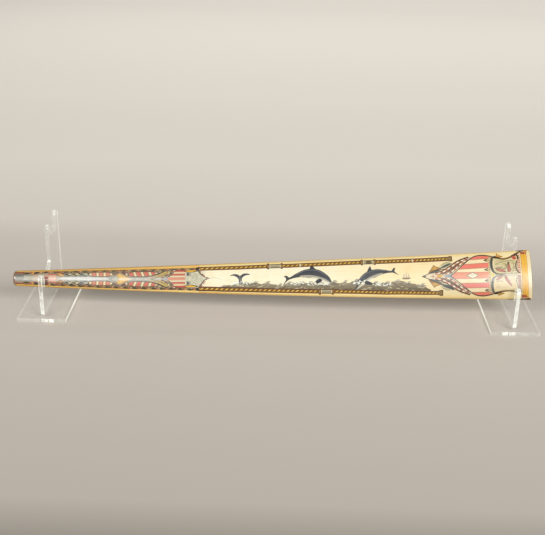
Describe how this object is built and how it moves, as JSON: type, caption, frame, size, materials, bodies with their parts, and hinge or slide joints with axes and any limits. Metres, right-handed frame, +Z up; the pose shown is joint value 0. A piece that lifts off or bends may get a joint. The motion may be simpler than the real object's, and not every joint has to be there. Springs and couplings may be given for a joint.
{
  "type": "scrimshaw swordfish bill",
  "caption": "Long flat tapering fish bill with a painted and engraved face, leaning back in the low seats of clear notched display stands.",
  "frame": {"origin": "on the surface under the stands, at the middle of the whole object's box", "axes": "+X along the bill from its tip to its wide end, -Y towards the viewer of the painted face, +Z up"},
  "size_m": [0.8212, 0.153, 0.1361],
  "materials": {
    "bill": "polished ivory-coloured bill, engraved and painted in red, gold, cream and dark brown",
    "acrylic": "clear cast acrylic sheet with polished edges"
  },
  "bodies": {
    "root": {"bill": "bill", "left_stand_base": "acrylic", "left_stand_upright": "acrylic", "right_stand_base": "acrylic", "right_stand_upright": "acrylic"}
  },
  "joints": []
}
